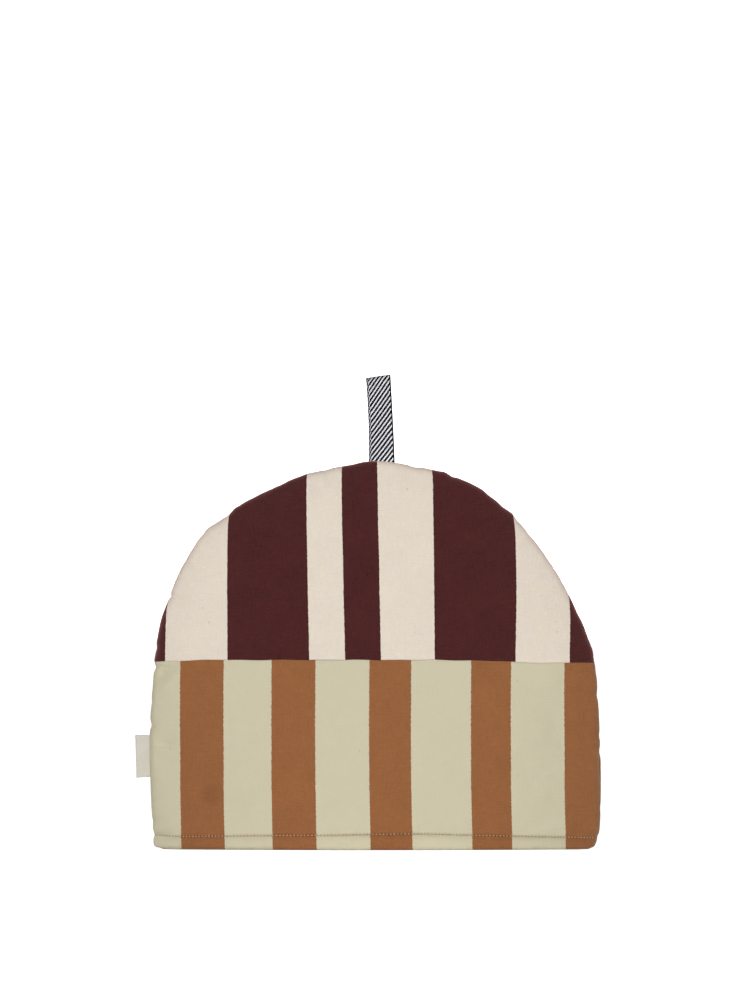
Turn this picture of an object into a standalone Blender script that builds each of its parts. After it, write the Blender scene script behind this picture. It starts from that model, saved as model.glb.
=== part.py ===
"""Tea cosy: a padded, striped dome of cloth that stands on its hem.

The front and the back are the same: a dome panel above the waist seam and a deep band below it. They are
sewn to each other round the edge, where a folded tape makes the hanging loop and a small folded tab sits
in the side seam. All sizes are in metres. The front faces -Y, and +X is to its right.
"""
import math

import bmesh
import bpy
import numpy as np

# ---- the padded body
BODY_HEIGHT = 0.2597        # from the hem to the top of the dome
HALF_WIDTH = 0.1512         # at the widest place of the band
MOUTH_HALF_DEPTH = 0.045    # inside of the wall at the middle of the hem
WALL = 0.008                # two cloths with the filling between them
WALL_LEAN = 1.7             # how the wall leans in: lower values lean more evenly from the hem up
WAIST_HEIGHT = 0.1265       # seam between the band and the dome panel
WAIST_SAG = 0.002           # how far that seam sinks at the side seams
WAIST_SAG_POWER = 8         # keeps the sag close to the side seams
WAIST_GROOVE = 0.0007
SEAM_ALLOWANCE = 0.009      # flat strip where front and back are sewn together
SEAM_GROOVE = 0.0012        # how deep the edge seam lies between the two padded walls
SEAM_GROOVE_REACH = 0.002
GAP = 0.0003                # between neighbouring pieces

# ---- the hem
HEM_STITCH_HEIGHT = 0.0098
HEM_STITCH_GROOVE = 0.0008
HEM_STITCH_SPREAD = 0.0018
HEM_TUCK_OUTSIDE = 0.0026   # how far the lower edge is rounded in, outside and inside
HEM_TUCK_INSIDE = 0.0020
HEM_ROUNDING = 0.003

# ---- the hanging loop and the label: both are a tape folded double with its ends in a seam
LOOP_WIDTH = 0.016
LOOP_THICKNESS = 0.001
LOOP_FOOT_X = 0.0048
LOOP_TOP_HEIGHT = 0.3167
LOOP_SWELL = 0.0077         # widens the loop's eye
LOOP_LEAN = 0.0025          # the top leans this far to -X
LOOP_IN_SEAM = 0.0065       # length caught in the top seam
LABEL_WIDTH = 0.028
LABEL_THICKNESS = 0.0008
LABEL_MIDDLE_HEIGHT = 0.0623
LABEL_SHOWS = 0.0087        # length that stands out of the side seam
LABEL_SWELL = 0.0004
LABEL_IN_SEAM = 0.006

# ---- how finely the solids are divided
BAND_ROW_STEP = 0.011
DOME_ROWS = 24
HALF_COLUMNS = 10
COLUMN_CROWDING = 1.3       # above 1, the columns crowd towards the side seams
OUTLINE_STEPS = 12
HEM_ROWS = 3                # rows of points on the hem's rounding
ROW_BESIDE_WAIST = 0.003    # from the waist seam to the next row of points
FOLD_STEPS = 16             # of each half of a folded tape
SHARP_EDGE = math.radians(50)

# The body's outline seen from the front: how far it reaches to each side at each height.
# It ends in the middle of the top, at BODY_HEIGHT.
OUTLINE = [
    # height, left, right
    (0.0000, 0.1403, 0.1440),
    (0.0012, 0.1443, 0.1461),
    (0.0033, 0.1466, 0.1476),
    (0.0075, 0.1485, 0.1491),
    (0.0130, 0.1488, 0.1500),
    (0.0300, 0.1498, 0.1508),
    (0.0600, 0.1508, 0.1512),
    (0.0870, 0.1507, 0.1502),
    (0.1130, 0.1487, 0.1488),
    (0.1270, 0.1476, 0.1470),
    (0.1470, 0.1450, 0.1412),
    (0.1670, 0.1388, 0.1317),
    (0.1870, 0.1305, 0.1207),
    (0.2070, 0.1185, 0.1064),
    (0.2140, 0.1130, 0.1007),
    (0.2190, 0.1052, 0.0963),
    (0.2240, 0.0987, 0.0921),
    (0.2300, 0.0906, 0.0848),
    (0.2360, 0.0802, 0.0775),
    (0.2410, 0.0692, 0.0710),
    (0.2470, 0.0569, 0.0587),
    (0.2535, 0.0348, 0.0400),
]

# Puckers where the edge seam draws the padding in, each at a place on the outline.
PUCKERS = [
    # across, height, depth, width, reach
    (-0.0620, 0.2447, 0.0012, 0.006, 0.020),
    (-0.0990, 0.2235, 0.0010, 0.006, 0.018),
    (-0.1152, 0.2108, 0.0012, 0.006, 0.018),
    (-0.1366, 0.1697, 0.0013, 0.005, 0.016),
    (-0.1474, 0.1228, 0.0014, 0.006, 0.016),
    (-0.1504, 0.0842, 0.0012, 0.007, 0.022),
    (0.0520, 0.2492, 0.0012, 0.006, 0.018),
    (0.1030, 0.2105, 0.0014, 0.006, 0.020),
    (0.1198, 0.1875, 0.0014, 0.005, 0.014),
    (0.1346, 0.1588, 0.0010, 0.006, 0.016),
    (0.1490, 0.1045, 0.0012, 0.006, 0.020),
    (0.1509, 0.0665, 0.0010, 0.007, 0.018),
]

BURGUNDY = (0.073, 0.021, 0.022)
SAGE = (0.60, 0.555, 0.40)
TAPE_GREY = (0.30, 0.30, 0.32)
LABEL_WHITE = (0.655, 0.591, 0.515)
CLOTH_ROUGHNESS = 0.9

FRONT = -1
BACK = 1
LEFT = -1
RIGHT = 1


def remove_everything():
    for scene_object in list(bpy.data.objects):
        bpy.data.objects.remove(scene_object, do_unlink=True)


def smooth_curve(corners, steps):
    """A curve through the corners, in equal steps between each two of them."""
    padded = np.vstack([2 * corners[0] - corners[1], corners, 2 * corners[-1] - corners[-2]])
    share = np.arange(steps)[:, None] / steps
    pieces = []
    for before, start, end, after in zip(padded, padded[1:], padded[2:], padded[3:]):
        pieces.append(0.5 * (
            2 * start
            + (end - before) * share
            + (2 * before - 5 * start + 4 * end - after) * share ** 2
            + (3 * start - before - 3 * end + after) * share ** 3
        ))
    return np.vstack(pieces + [corners[-1:]])


def body_outline():
    """The whole outline as points (across, height), from the left foot over the top to the right foot."""
    left = [(-reach_left, height) for height, reach_left, _ in OUTLINE]
    right = [(reach_right, height) for height, _, reach_right in reversed(OUTLINE)]
    return smooth_curve(np.array(left + [(0.0, BODY_HEIGHT)] + right), OUTLINE_STEPS)


EDGE = body_outline()
TOP_INDEX = len(EDGE) // 2


def edge_across(side, height):
    """Where the outline lies at this height, on the left or the right."""
    branch = EDGE[:TOP_INDEX + 1] if side == LEFT else EDGE[TOP_INDEX:][::-1]
    return float(np.interp(height, branch[:, 1], branch[:, 0]))


def distance_to_edge(across, height):
    """How far a place lies from the nearest stretch of the outline."""
    place = np.array([across, height])
    runs = np.diff(EDGE, axis=0)
    share = np.sum((place - EDGE[:-1]) * runs, axis=1) / np.sum(runs * runs, axis=1)
    nearest = EDGE[:-1] + runs * np.clip(share, 0, 1)[:, None]
    return float(np.min(np.linalg.norm(nearest - place, axis=1)))


def drawn_in(across, height, amount):
    """A place on the outline moved towards the body's middle by about this amount."""
    across *= 1 - amount / HALF_WIDTH
    if height > WAIST_HEIGHT:
        dome_height = BODY_HEIGHT - WAIST_HEIGHT
        height = WAIST_HEIGHT + (height - WAIST_HEIGHT) * (1 - amount / dome_height)
    return across, height


def waist_sag(across, height):
    """How far the cloth sinks with the waist seam: nothing at the hem, the whole sag from the waist up."""
    sag = WAIST_SAG * abs(across / HALF_WIDTH) ** WAIST_SAG_POWER
    return sag * min(1, height / WAIST_HEIGHT)


def pucker_depth(across, height):
    """How far the puckers draw the padding in at this place, and in which direction of the front view."""
    depth = 0.0
    inward = np.zeros(2)
    for pucker_across, pucker_height, pucker_deep, width, reach in PUCKERS:
        rise = max(0.0, pucker_height - WAIST_HEIGHT)
        direction = np.array([-pucker_across, -rise])
        direction /= np.linalg.norm(direction)
        offset = np.array([across - pucker_across, height - pucker_height])
        along = offset @ np.array([-direction[1], direction[0]])
        inside = max(0.0, offset @ direction)
        strength = pucker_deep * math.exp(-(along / width) ** 2 - (inside / reach) ** 2)
        depth += strength
        inward += strength * direction
    return depth, inward


def outer_point(across, height, lens, tuck):
    """A point of the wall's outside. lens is 0 at the side seams and 1 in the middle of a row."""
    distance = min(distance_to_edge(across, height), WALL)
    fullness = math.sqrt(1 - (1 - distance / WALL) ** 2)
    lean = 1 - (height / BODY_HEIGHT) ** WALL_LEAN
    depth = MOUTH_HALF_DEPTH * lean * lens + WALL * fullness
    groove = SEAM_GROOVE * math.exp(-(depth / SEAM_GROOVE_REACH) ** 2)
    pucker, inward = pucker_depth(across, height)
    across, height = drawn_in(across, height, groove)
    sideways = math.sqrt(1 - fullness ** 2)
    across += inward[0] * sideways
    height += inward[1] * sideways
    depth = max(0.0, depth - (tuck + pucker) * fullness)
    return across, GAP / 2 + depth, height - waist_sag(across, height)


def inner_point(across, height, lens, tuck):
    """A point of the wall's inside, which starts at the edge of the seam allowance."""
    inner_height = BODY_HEIGHT - SEAM_ALLOWANCE
    lean = 1 - min(1, height / inner_height) ** WALL_LEAN
    depth = MOUTH_HALF_DEPTH * lean * lens + tuck * math.sqrt(lens)
    return across, GAP / 2 + depth, height - waist_sag(across, height)


def column_angles():
    """Angles from 0 at the left seam to a half turn at the right seam, crowded towards both."""
    quarter = [(i / HALF_COLUMNS) ** COLUMN_CROWDING * math.pi / 2 for i in range(HALF_COLUMNS + 1)]
    return quarter + [math.pi - angle for angle in quarter[-2::-1]]


def wall_rows(heights, tucks_outside, tucks_inside):
    """The rows of points of the wall's outside and inside, from the lowest height up."""
    outside = []
    inside = []
    for height, tuck_outside, tuck_inside in zip(heights, tucks_outside, tucks_inside):
        left = edge_across(LEFT, height)
        right = edge_across(RIGHT, height)
        outer_row = []
        inner_row = []
        for angle in column_angles():
            across = (left + right) / 2 - (right - left) / 2 * math.cos(angle)
            lens = math.sin(angle) ** 2
            outer_row.append(outer_point(across, height, lens, tuck_outside))
            inner_across, inner_height = drawn_in(across, height, SEAM_ALLOWANCE)
            inner_row.append(inner_point(inner_across, inner_height, lens, tuck_inside))
        outside.append(outer_row)
        inside.append(inner_row)
    return outside, inside


def band_heights():
    """Row heights of the band: close together at the hem and at its stitching, then in even steps."""
    stitch = [HEM_STITCH_HEIGHT + shift * HEM_STITCH_SPREAD for shift in (-1, 0, 1)]
    low = list(np.linspace(0, HEM_ROUNDING, HEM_ROWS)) + stitch
    below_waist = WAIST_HEIGHT - ROW_BESIDE_WAIST
    count = round((below_waist - stitch[-1]) / BAND_ROW_STEP)
    steps = np.linspace(stitch[-1], below_waist, count + 1)[1:]
    return low + list(steps) + [WAIST_HEIGHT - GAP / 2]


def dome_heights():
    """Row heights of the dome panel, in even steps along the left edge, without the top itself."""
    branch = EDGE[:TOP_INDEX + 1]
    branch = branch[branch[:, 1] >= WAIST_HEIGHT]
    run = np.concatenate([[0], np.cumsum(np.linalg.norm(np.diff(branch, axis=0), axis=1))])
    heights = np.interp(np.linspace(0, run[-1], DOME_ROWS + 1)[1:-1], run, branch[:, 1])
    return [WAIST_HEIGHT + GAP / 2, WAIST_HEIGHT + ROW_BESIDE_WAIST] + list(heights)


def hem_tuck(height, lowest):
    """The hem's rounded lower edge, as a quarter round."""
    share = min(1.0, height / HEM_ROUNDING)
    return lowest * (1 - math.sqrt(1 - (1 - share) ** 2))


def mesh_from_quads(name, corners, faces):
    mesh = bpy.data.meshes.new(name)
    shape = bmesh.new()
    vertices = [shape.verts.new(corner) for corner in corners]
    for face in faces:
        shape.faces.new([vertices[index] for index in face])
    bmesh.ops.recalc_face_normals(shape, faces=shape.faces)
    if shape.calc_volume(signed=True) < 0:
        bmesh.ops.reverse_faces(shape, faces=shape.faces)
    shape.to_mesh(mesh)
    shape.free()
    return mesh


def closed_wall(name, outside, inside, has_peak):
    """Joins the two sides of a wall along their edges. With a peak, the last row is a single point."""
    corners = []
    numbers = []
    for rows in (outside, inside):
        side_numbers = []
        for row in rows:
            side_numbers.append(list(range(len(corners), len(corners) + len(row))))
            corners.extend(row)
        if has_peak:
            side_numbers[-1] = side_numbers[-1] * len(side_numbers[0])
        numbers.append(side_numbers)
    outer, inner = numbers
    faces = []
    for grid in numbers:
        for low, high in zip(grid, grid[1:]):
            for a, b, c, d in zip(low, low[1:], high[1:], high):
                faces.append((a, b, c) if c == d else (a, b, c, d))
    rims = [(outer[0], inner[0])]
    rims += [([row[end] for row in outer], [row[end] for row in inner]) for end in (0, -1)]
    if not has_peak:
        rims.append((outer[-1], inner[-1]))
    for outer_rim, inner_rim in rims:
        for a, b, c, d in zip(outer_rim, outer_rim[1:], inner_rim[1:], inner_rim):
            faces.append((a, b, c, d))
    return mesh_from_quads(name, corners, faces)


def facing(rows, side):
    """Turns rows that are worked out for the back into rows for the front or the back."""
    return [[(across, side * depth, height) for across, depth, height in row] for row in rows]


def band_mesh(name, side):
    heights = band_heights()
    groove = [HEM_STITCH_GROOVE * (abs(height - HEM_STITCH_HEIGHT) < GAP) for height in heights]
    outside_tucks = [hem_tuck(h, HEM_TUCK_OUTSIDE) + g for h, g in zip(heights, groove)]
    outside_tucks[-1] = WAIST_GROOVE
    inside_tucks = [hem_tuck(h, HEM_TUCK_INSIDE) for h in heights]
    outside, inside = wall_rows(heights, outside_tucks, inside_tucks)
    return closed_wall(name, facing(outside, side), facing(inside, side), has_peak=False)


def dome_mesh(name, side):
    heights = dome_heights()
    outside_tucks = [WAIST_GROOVE] + [0.0] * (len(heights) - 1)
    inside_tucks = [0.0] * len(heights)
    outside, inside = wall_rows(heights, outside_tucks, inside_tucks)
    outside.append([outer_point(0.0, BODY_HEIGHT, 0.0, 0.0)])
    inside.append([inner_point(*drawn_in(0.0, BODY_HEIGHT, SEAM_ALLOWANCE), 0.0, 0.0)])
    return closed_wall(name, facing(outside, side), facing(inside, side), has_peak=True)


def folded_line(length, in_seam, swell, thickness):
    """The middle line of a tape folded double, as points (sideways, along) from one end to the other.

    Its two ends lie side by side in the seam, and it opens into a drop shape with a tight fold at the top.
    """
    half = [(0.0, -in_seam)]
    for step in range(FOLD_STEPS + 1):
        angle = math.pi * step / FOLD_STEPS
        sideways = swell * math.sin(angle) * math.sin(angle / 2) ** 2
        half.append((sideways, (length - thickness / 2) * (1 - math.cos(angle)) / 2))
    shift = (GAP + thickness) / 2
    one_leg = [(-shift - sideways, along) for sideways, along in half]
    other_leg = [(shift + sideways, along) for sideways, along in reversed(half)]
    return one_leg + other_leg


def band_around(line, thickness):
    """Both faces of a band of this thickness along the middle line."""
    points = np.array(line)
    tangents = np.gradient(points, axis=0)
    tangents /= np.linalg.norm(tangents, axis=1)[:, None]
    normals = np.stack([-tangents[:, 1], tangents[:, 0]], axis=1)
    return points + normals * thickness / 2, points - normals * thickness / 2


def folded_tape_mesh(name, line, thickness, place):
    """The tape as a closed solid. place(sideways, along, edge) puts a point of it into the body's frame."""
    corners = []
    for face_points in band_around(line, thickness):
        for edge in (-1, 1):
            corners.extend(place(sideways, along, edge) for sideways, along in face_points)
    count = len(line)
    outer_low, outer_high, inner_low, inner_high = (range(count * k, count * (k + 1)) for k in range(4))
    faces = []
    for strip_a, strip_b in (
        (outer_low, outer_high),
        (inner_high, inner_low),
        (outer_high, inner_high),
        (inner_low, outer_low),
    ):
        for a, b, c, d in zip(strip_a, strip_a[1:], strip_b[1:], strip_b):
            faces.append((a, b, c, d))
    for end in (0, -1):
        faces.append((outer_low[end], outer_high[end], inner_high[end], inner_low[end]))
    return mesh_from_quads(name, corners, faces)


def loop_mesh(name):
    foot = BODY_HEIGHT - SEAM_GROOVE
    length = LOOP_TOP_HEIGHT - foot

    def place(sideways, along, edge):
        lean = LOOP_LEAN * max(0.0, along) / length
        return LOOP_FOOT_X - lean + edge * LOOP_WIDTH / 2, sideways, foot + along

    line = folded_line(length, LOOP_IN_SEAM, LOOP_SWELL, LOOP_THICKNESS)
    return folded_tape_mesh(name, line, LOOP_THICKNESS, place)


def label_mesh(name):
    seam = edge_across(LEFT, LABEL_MIDDLE_HEIGHT)

    def place(sideways, along, edge):
        return seam - along, sideways, LABEL_MIDDLE_HEIGHT + edge * LABEL_WIDTH / 2

    line = folded_line(LABEL_SHOWS, LABEL_IN_SEAM, LABEL_SWELL, LABEL_THICKNESS)
    return folded_tape_mesh(name, line, LABEL_THICKNESS, place)


def box_cutter(name, low, high, parent):
    """A hidden box that cuts a pocket for a tape's ends out of a seam."""
    mesh = bpy.data.meshes.new(name)
    shape = bmesh.new()
    bmesh.ops.create_cube(shape, size=1)
    for vertex in shape.verts:
        vertex.co = [(a + b) / 2 + (b - a) * share for a, b, share in zip(low, high, vertex.co)]
    shape.to_mesh(mesh)
    shape.free()
    cutter = bpy.data.objects.new(name, mesh)
    cutter.hide_render = True
    cutter.display_type = "WIRE"
    cutter.parent = parent
    bpy.context.scene.collection.objects.link(cutter)
    return cutter


def pocket_half_depth(thickness, swell):
    """From the seam plane to the pocket's wall: one of the tape's two ends, with a gap on both sides of it."""
    return GAP / 2 + thickness + swell + GAP


def cut_pocket(piece, cutter):
    pocket = piece.modifiers.new("pocket", "BOOLEAN")
    pocket.operation = "DIFFERENCE"
    pocket.solver = "EXACT"
    pocket.object = cutter


def cloth(name, colour):
    material = bpy.data.materials.new(name)
    material.use_nodes = True
    shader = material.node_tree.nodes["Principled BSDF"]
    shader.inputs["Base Color"].default_value = (*colour, 1.0)
    shader.inputs["Roughness"].default_value = CLOTH_ROUGHNESS
    shader.inputs["Metallic"].default_value = 0.0
    return material


def add_piece(name, mesh, colour, parent):
    mesh.materials.append(cloth(name, colour))
    mesh.shade_smooth()
    mesh.set_sharp_from_angle(angle=SHARP_EDGE)
    piece = bpy.data.objects.new(name, mesh)
    piece.parent = parent
    bpy.context.scene.collection.objects.link(piece)
    return piece


def build():
    remove_everything()
    cosy = bpy.data.objects.new("cosy", None)
    bpy.context.scene.collection.objects.link(cosy)
    # The label stands out on one side only, so the body is shifted to keep the whole piece centred.
    cosy.location.x = LABEL_SHOWS / 2

    pocket_half = pocket_half_depth(LOOP_THICKNESS, 0.0)
    loop_pocket = box_cutter(
        "loop_pocket",
        (LOOP_FOOT_X - LOOP_WIDTH / 2 - GAP, -pocket_half, BODY_HEIGHT - SEAM_GROOVE - LOOP_IN_SEAM - GAP),
        (LOOP_FOOT_X + LOOP_WIDTH / 2 + GAP, pocket_half, BODY_HEIGHT + WALL),
        cosy,
    )
    seam = edge_across(LEFT, LABEL_MIDDLE_HEIGHT)
    pocket_half = pocket_half_depth(LABEL_THICKNESS, LABEL_SWELL)
    label_pocket = box_cutter(
        "label_pocket",
        (seam - WALL, -pocket_half, LABEL_MIDDLE_HEIGHT - LABEL_WIDTH / 2 - GAP),
        (seam + LABEL_IN_SEAM + GAP, pocket_half, LABEL_MIDDLE_HEIGHT + LABEL_WIDTH / 2 + GAP),
        cosy,
    )
    for word, side in (("front", FRONT), ("back", BACK)):
        dome = f"{word}_upper_panel"
        band = f"{word}_lower_band"
        cut_pocket(add_piece(dome, dome_mesh(dome, side), BURGUNDY, cosy), loop_pocket)
        cut_pocket(add_piece(band, band_mesh(band, side), SAGE, cosy), label_pocket)
    add_piece("hanging_loop", loop_mesh("hanging_loop"), TAPE_GREY, cosy)
    add_piece("side_label", label_mesh("side_label"), LABEL_WHITE, cosy)
    bpy.context.view_layer.update()


build()
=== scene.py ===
import math

import bmesh
import bpy
import numpy as np
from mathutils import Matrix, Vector, noise
from mathutils.geometry import delaunay_2d_cdt
from mathutils.kdtree import KDTree


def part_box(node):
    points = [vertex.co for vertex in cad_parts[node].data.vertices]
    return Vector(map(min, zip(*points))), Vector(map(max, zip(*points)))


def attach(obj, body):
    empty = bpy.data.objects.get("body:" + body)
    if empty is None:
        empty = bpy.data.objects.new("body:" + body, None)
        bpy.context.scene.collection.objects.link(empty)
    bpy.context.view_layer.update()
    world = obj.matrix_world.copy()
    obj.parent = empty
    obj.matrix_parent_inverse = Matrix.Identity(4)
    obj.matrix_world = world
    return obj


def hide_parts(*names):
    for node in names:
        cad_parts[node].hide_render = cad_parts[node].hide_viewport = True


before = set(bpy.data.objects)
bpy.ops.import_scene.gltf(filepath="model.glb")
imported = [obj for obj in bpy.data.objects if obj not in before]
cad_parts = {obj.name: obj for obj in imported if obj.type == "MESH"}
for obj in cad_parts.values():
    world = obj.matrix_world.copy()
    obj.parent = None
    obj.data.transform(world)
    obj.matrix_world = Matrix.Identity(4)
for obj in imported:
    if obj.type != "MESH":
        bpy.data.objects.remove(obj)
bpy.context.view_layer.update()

# =====================================================================================================
# The dome panels: half rounds of burgundy and cream striped cotton, padded and lined with plain cotton,
# one in front and one behind. They are sewn to each other along the curved edge, and to the bands along
# the waist seam.

# The front and the back are one shape, each a dome panel over a band, so what follows serves both. Sizes
# are in metres. "Across" is measured from the body's middle, and "height" from the hem.
LOOP_WIDTH = 0.016
LOOP_FOOT_ACROSS = 0.0048
# The body's middle is found from the solid loop, which stands a little right of it.
_, loop_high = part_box("hanging_loop")
BODY_MIDDLE = loop_high[0] - LOOP_FOOT_ACROSS - LOOP_WIDTH / 2
BODY_HEIGHT = 0.2597
HALF_WIDTH = 0.1512
# In plan each wall bows out from the seam, by this much at the mouth. Above it the walls lean together,
# as this power of the height.
MOUTH_HALF_DEPTH = 0.045
WALL_LEAN = 1.7
# Beside the seam the padding rolls over quickly, and from there it fills out slowly.
ROLL = 0.0045
PILLOW = 0.0035
PILLOW_REACH = 0.013
WAIST_HEIGHT = 0.1265
WAIST_SAG = 0.002
WAIST_SAG_POWER = 8
# The waist seam dips a little on the right, and wanders in two waves: the length and start of each.
WAIST_DIP = 0.0018
WAIST_DIP_ACROSS = 0.112
WAIST_DIP_WIDTH = 0.036
WAIST_DIP_REACH = 0.018
WAIST_WANDER = 0.00013
WAIST_WAVES = [(0.0075, 0.0), (0.0041, 1.3)]
# The hem's lower edge isn't quite straight: between the places where it stands it lifts this far, in
# waves of two lengths.
HEM_LIFT = 0.00032
HEM_LIFT_REACH = 0.003
HEM_WAVES = (0.0013, 0.0047)
SEAM_ALLOWANCE = 0.009
SEAM_GROOVE = 0.0010
SEAM_GROOVE_REACH = 0.0018
# The pieces all but touch at their seams, so that no light shows through.
HALF_GAP = 0.000006
WAIST_HALF_GAP = 0.00003

OUTLINE = [
    # height, left, right
    (0.0000, 0.1440, 0.1450),
    (0.0012, 0.1473, 0.1468),
    (0.0033, 0.1485, 0.1480),
    (0.0075, 0.1489, 0.1495),
    (0.0130, 0.1488, 0.1504),
    (0.0300, 0.1498, 0.1512),
    (0.0600, 0.1508, 0.1512),
    (0.0870, 0.1507, 0.1502),
    (0.1130, 0.1487, 0.1488),
    (0.1270, 0.1476, 0.1470),
    (0.1470, 0.1450, 0.1412),
    (0.1670, 0.1388, 0.1317),
    (0.1870, 0.1305, 0.1207),
    (0.2070, 0.1185, 0.1064),
    (0.2140, 0.1130, 0.1007),
    (0.2190, 0.1052, 0.0963),
    (0.2240, 0.0987, 0.0921),
    (0.2300, 0.0906, 0.0848),
    (0.2360, 0.0802, 0.0775),
    (0.2410, 0.0692, 0.0710),
    (0.2470, 0.0569, 0.0587),
    (0.2535, 0.0348, 0.0400),
]
OUTLINE_STEPS = 14
# So many places at a time are measured against the outline.
PLACES_AT_ONCE = 2000


def smooth_curve(corners, steps):
    """A curve through the corners, in equal steps between each two of them."""
    padded = np.vstack([2 * corners[0] - corners[1], corners, 2 * corners[-1] - corners[-2]])
    share = np.arange(steps)[:, None] / steps
    stretches = []
    for before, start, end, after in zip(padded, padded[1:], padded[2:], padded[3:]):
        stretches.append(0.5 * (
            2 * start
            + (end - before) * share
            + (2 * before - 5 * start + 4 * end - after) * share ** 2
            + (3 * start - before - 3 * end + after) * share ** 3
        ))
    return np.vstack(stretches + [corners[-1:]])


def run_lengths(points):
    """The length along a line of points, from its start to each of them."""
    return np.concatenate([[0], np.cumsum(np.linalg.norm(np.diff(points, axis=0), axis=1))])


left_side = [(-left, height) for height, left, _ in OUTLINE]
right_side = [(right, height) for height, _, right in reversed(OUTLINE)]
EDGE = smooth_curve(np.array(left_side + [(0.0, BODY_HEIGHT)] + right_side), OUTLINE_STEPS)
EDGE_RUN = run_lengths(EDGE)
EDGE_TOP = len(EDGE) // 2
edge_tangents = np.gradient(EDGE, axis=0)
edge_tangents /= np.linalg.norm(edge_tangents, axis=1)[:, None]
EDGE_OUTWARD = np.stack([-edge_tangents[:, 1], edge_tangents[:, 0]], axis=1)


def edge_across(height):
    """Where the outline lies at these heights, on the left and on the right."""
    left = EDGE[:EDGE_TOP + 1]
    right = EDGE[EDGE_TOP:][::-1]
    return np.interp(height, left[:, 1], left[:, 0]), np.interp(height, right[:, 1], right[:, 0])


def nearest_on_edge(places):
    """Distance to the outline, the outline's outward direction there, and the run along it."""
    stretch = np.diff(EDGE, axis=0)
    found = []
    for part in np.array_split(places, len(places) // PLACES_AT_ONCE + 1):
        share = ((part[:, None] - EDGE[:-1]) * stretch).sum(2) / (stretch ** 2).sum(1)
        share = np.clip(share, 0, 1)
        gaps = np.linalg.norm(EDGE[:-1] + stretch * share[..., None] - part[:, None], axis=2)
        best = gaps.argmin(1)
        rows = np.arange(len(part))
        along = share[rows, best]
        run = EDGE_RUN[best] * (1 - along) + EDGE_RUN[best + 1] * along
        along = along[:, None]
        outward = EDGE_OUTWARD[best] * (1 - along) + EDGE_OUTWARD[best + 1] * along
        found.append((gaps[rows, best], outward, run))
    return [np.concatenate(kind) for kind in zip(*found)]


# The larger puckers, each at its place on the outline. Those with a depth below zero are the fuller
# places between two of them.
PUCKERS = [
    # across, height, depth at the edge, depth in the face, width, reach
    (-0.1486, 0.0100, 0.0009, 0.0010, 0.0024, 0.010),
    (-0.1490, 0.0190, 0.0004, 0.0006, 0.0025, 0.010),
    (-0.1504, 0.0842, 0.0010, 0.0013, 0.0028, 0.020),
    (-0.1496, 0.0985, 0.0003, 0.0006, 0.0035, 0.012),
    (-0.1474, 0.1228, 0.0014, 0.0016, 0.0024, 0.014),
    (-0.1470, 0.1280, -0.0003, -0.0003, 0.0020, 0.008),
    (-0.1459, 0.1358, 0.0006, 0.0008, 0.0022, 0.009),
    (-0.1420, 0.1560, -0.0004, -0.0004, 0.0060, 0.012),
    (-0.1366, 0.1697, 0.0011, 0.0014, 0.0017, 0.013),
    (-0.1262, 0.1930, 0.0001, 0.0005, 0.0020, 0.010),
    (-0.1216, 0.2007, 0.0000, 0.0005, 0.0013, 0.009),
    (-0.1152, 0.2108, 0.0007, 0.0010, 0.0026, 0.016),
    (-0.0990, 0.2235, 0.0007, 0.0010, 0.0034, 0.018),
    (-0.0935, 0.2275, -0.0004, -0.0004, 0.0018, 0.008),
    (-0.0805, 0.2355, 0.0002, 0.0006, 0.0030, 0.010),
    (-0.0620, 0.2447, 0.0005, 0.0008, 0.0040, 0.015),
    (-0.0450, 0.2505, -0.0004, -0.0004, 0.0050, 0.012),
    (-0.0330, 0.2535, 0.0004, 0.0006, 0.0018, 0.009),
    (-0.0165, 0.2580, 0.0007, 0.0007, 0.0070, 0.010),
    (0.0265, 0.2562, 0.0008, 0.0009, 0.0035, 0.012),
    (0.0460, 0.2515, -0.0005, -0.0005, 0.0020, 0.008),
    (0.0520, 0.2492, 0.0008, 0.0012, 0.0024, 0.014),
    (0.0760, 0.2370, 0.0003, 0.0006, 0.0040, 0.012),
    (0.0853, 0.2290, 0.0004, 0.0006, 0.0020, 0.009),
    (0.0913, 0.2240, -0.0003, -0.0003, 0.0020, 0.008),
    (0.0950, 0.2195, 0.0004, 0.0008, 0.0018, 0.011),
    (0.1030, 0.2105, 0.0004, 0.0009, 0.0030, 0.018),
    (0.1115, 0.1990, 0.0000, -0.0003, 0.0030, 0.009),
    (0.1163, 0.1925, 0.0002, 0.0007, 0.0015, 0.010),
    (0.1198, 0.1875, 0.0003, 0.0009, 0.0015, 0.012),
    (0.1250, 0.1788, 0.0002, 0.0006, 0.0013, 0.009),
    (0.1346, 0.1588, 0.0003, 0.0007, 0.0038, 0.014),
    (0.1440, 0.1345, -0.0008, -0.0005, 0.0050, 0.012),
    (0.1474, 0.1205, 0.0003, 0.0006, 0.0030, 0.009),
    (0.1490, 0.1045, 0.0007, 0.0010, 0.0038, 0.016),
    (0.1505, 0.0770, 0.0004, 0.0007, 0.0030, 0.014),
    (0.1509, 0.0665, 0.0007, 0.0011, 0.0036, 0.018),
    (0.1506, 0.0280, 0.0003, 0.0007, 0.0030, 0.012),
    (0.1490, 0.0090, 0.0007, 0.0009, 0.0022, 0.009),
]
# The front's right edge is drawn in a little further low down, so that the back's edge shows beside it.
FRONT_DRAWN_IN = (0.1508, 0.0560, 0.0011, 0.0011, 0.0110, 0.007)
# The small gathers between them, each size from the first value to the second.
GATHER_SPACING = (0.006, 0.012)
GATHER_DEPTH = (0.00008, 0.00035)
GATHER_WIDTH = (0.0014, 0.0030)
GATHER_REACH = (0.006, 0.016)
GATHER_SHOWN = 0.2
gather_draw = np.random.default_rng(7)


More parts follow.
